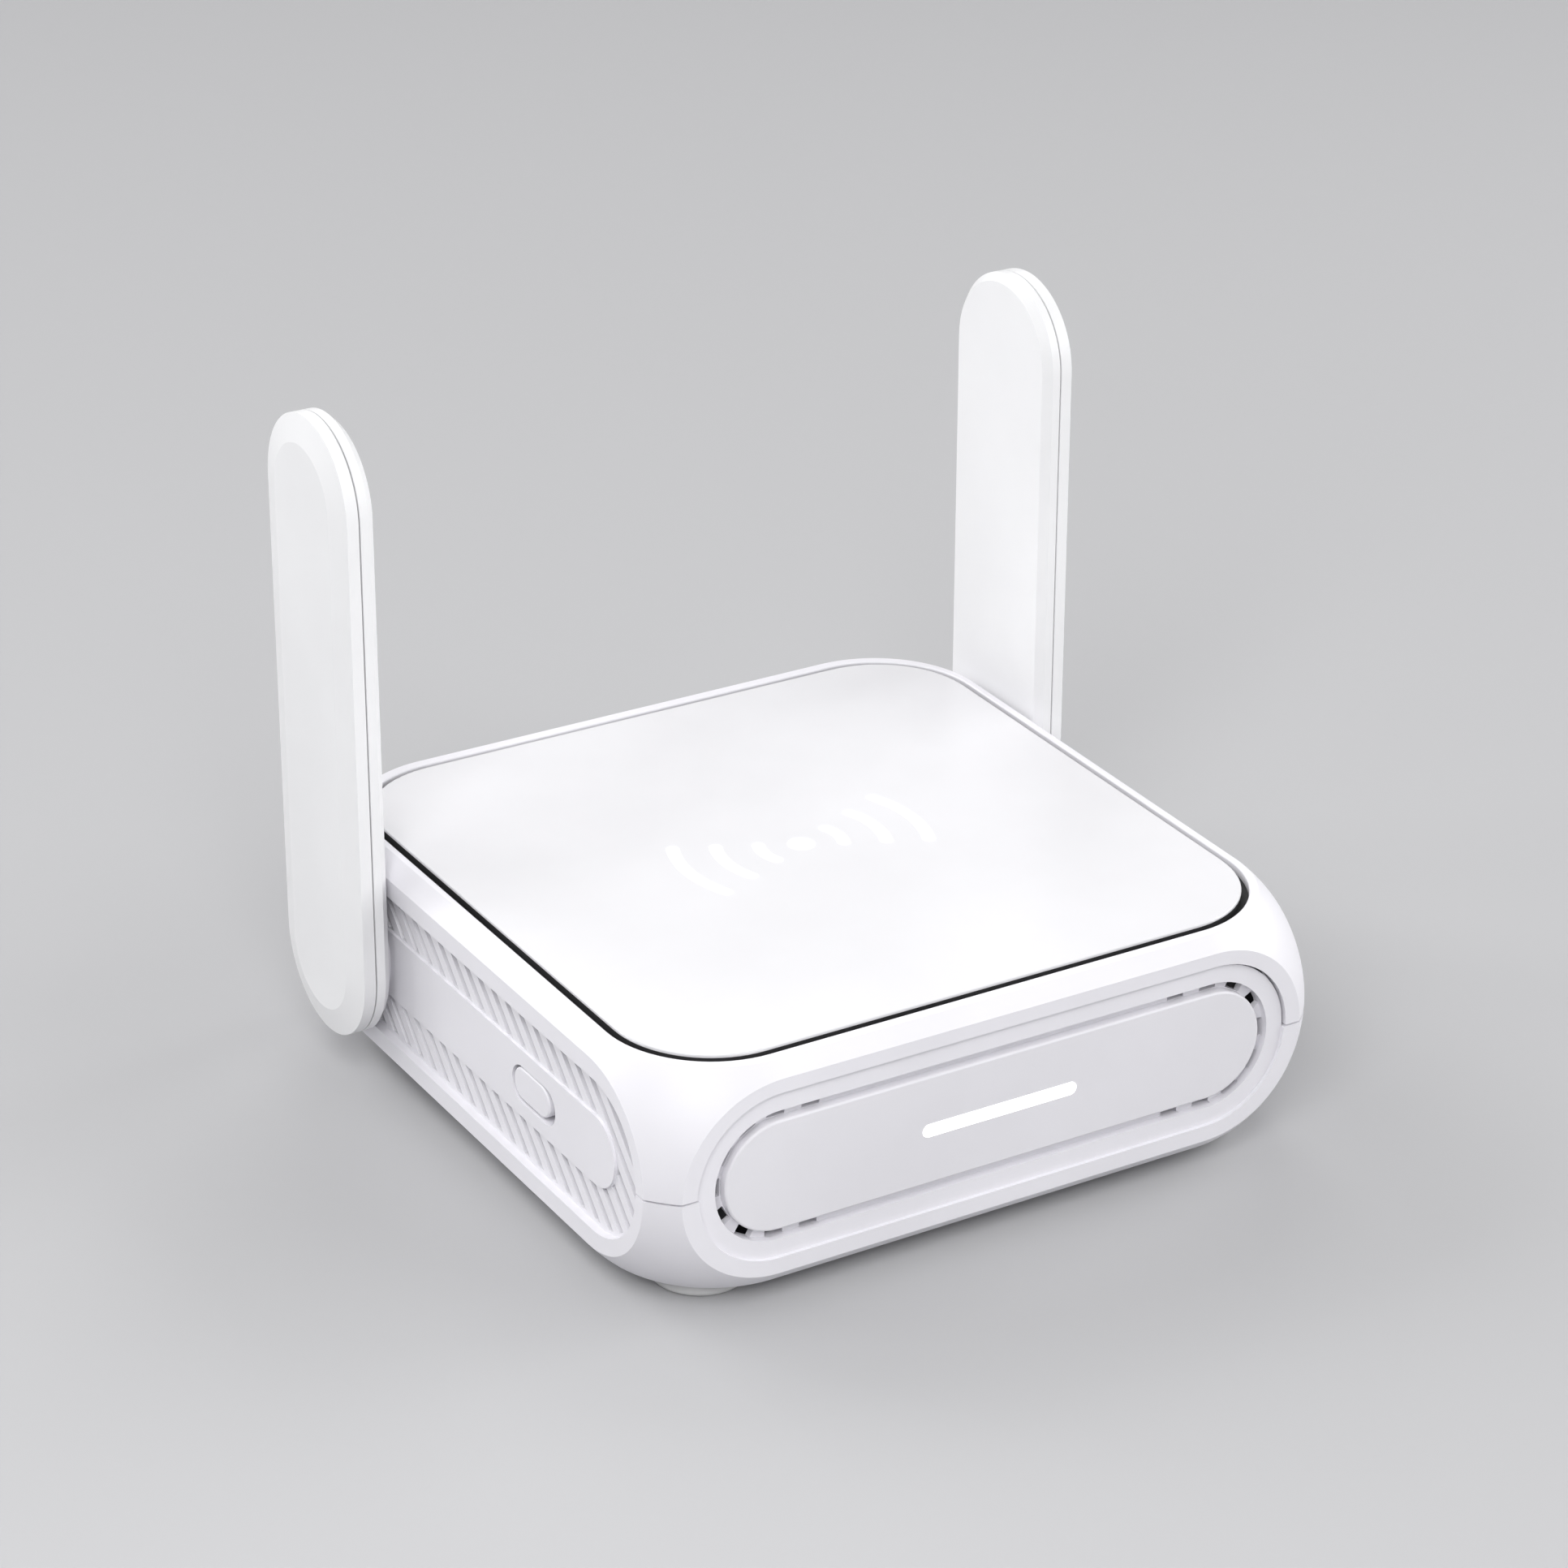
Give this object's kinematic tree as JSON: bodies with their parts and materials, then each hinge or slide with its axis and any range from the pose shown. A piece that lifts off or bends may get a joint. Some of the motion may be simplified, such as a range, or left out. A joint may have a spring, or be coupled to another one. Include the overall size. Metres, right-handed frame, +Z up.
{
  "type": "wifi range extender",
  "caption": "Desktop wifi range extender: square cushion-shaped white housing with louvred sides, a front light bar, rear network and USB sockets, and fold-down side antennas.",
  "frame": {"origin": "middle of the footprint, at the underside of the rubber feet", "axes": "+Z up, -Y is the front with the light bar, +X is the right side seen from the front"},
  "size_m": [0.118, 0.1032, 0.0992],
  "materials": {
    "shell_white": "white moulded plastic, soft gloss",
    "plate_white": "white moulded plastic, satin gloss",
    "mark_white": "bright white inlay",
    "seal_black": "black seal",
    "light_diffuser": "milky light guide, lit white",
    "led_body": "phosphor coated lamp bodies",
    "board_green": "green solder mask on glass laminate",
    "ribbon": "amber flexible ribbon",
    "screw_steel": "zinc plated steel",
    "shield_tin": "tin plated sheet",
    "chip_black": "moulded package",
    "pad_grey": "soft thermal pad",
    "sink_aluminium": "extruded, bare",
    "black_plastic": "moulded black plastic",
    "contact_gold": "gold plated contacts",
    "capacitor_can": "sleeved can",
    "coil_grey": "ferrite",
    "spring_steel": "spring steel",
    "coax_black": "jacketed micro coaxial cable",
    "foot_rubber": "pale grey rubber",
    "label_silver": "blank plain label"
  },
  "bodies": {
    "housing": {"bottom_shell": "shell_white", "rear_panel": "shell_white", "top_shell": "shell_white", "top_plate": "plate_white", "top_mark": "mark_white", "top_gasket": "seal_black", "front_plate": "shell_white", "light_bar": "light_diffuser", "lamp_carrier": "black_plastic", "led_board": "board_green", "status_leds": "led_body", "led_ribbon": "ribbon", "main_board": "board_green", "board_screws": "screw_steel", "processor_shield": "shield_tin", "processor": "chip_black", "radio_shield": "shield_tin", "thermal_pad": "pad_grey", "heat_sink": "sink_aluminium", "heat_sink_pins": "black_plastic", "memory_chips": "chip_black", "line_transformers": "chip_black", "filter_capacitors": "capacitor_can", "power_coils": "coil_grey", "wan_jack_shield": "shield_tin", "wan_jack_insert": "black_plastic", "lan_jack_shield": "shield_tin", "lan_jack_insert": "black_plastic", "jack_contacts": "contact_gold", "usb_a_shell": "shield_tin", "usb_a_tongue": "black_plastic", "usb_a_contacts": "contact_gold", "usb_c_shell": "shield_tin", "usb_c_tongue": "black_plastic", "mode_switch_body": "black_plastic", "reset_switch": "black_plastic", "left_hinge_washer": "spring_steel", "right_hinge_washer": "spring_steel", "left_antenna_cable": "coax_black", "right_antenna_cable": "coax_black", "antenna_sockets": "contact_gold", "case_screws": "screw_steel", "rubber_feet": "foot_rubber", "base_label": "label_silver"},
    "left_antenna": {"left_antenna_inner_shell": "shell_white", "left_antenna_outer_shell": "shell_white", "left_antenna_board": "board_green", "left_antenna_feed": "coax_black", "left_hinge_clip": "spring_steel"},
    "right_antenna": {"right_antenna_inner_shell": "shell_white", "right_antenna_outer_shell": "shell_white", "right_antenna_board": "board_green", "right_antenna_feed": "coax_black", "right_hinge_clip": "spring_steel"},
    "mode_switch": {"mode_switch_knob": "shell_white", "mode_switch_lever": "black_plastic"},
    "reset": {"reset_button": "black_plastic"}
  },
  "joints": [
    {"name": "left_antenna_fold", "type": "hinge", "parent": "housing", "child": "left_antenna", "pos_m": [-0.0532, 0.0322, 0.0192], "axis": [1, 0, 0], "range_deg": [0, 91.6]},
    {"name": "right_antenna_fold", "type": "hinge", "parent": "housing", "child": "right_antenna", "pos_m": [0.0532, 0.0322, 0.0192], "axis": [1, 0, 0], "range_deg": [0, 91.6]},
    {"name": "mode_switch_slide", "type": "slide", "parent": "housing", "child": "mode_switch", "axis": [0, -1, 0], "range_m": [0, 0.0014]},
    {"name": "reset_press", "type": "slide", "parent": "housing", "child": "reset", "axis": [0, -1, 0], "range_m": [0, 0.0005], "stiffness_N_per_m": 1500}
  ]
}
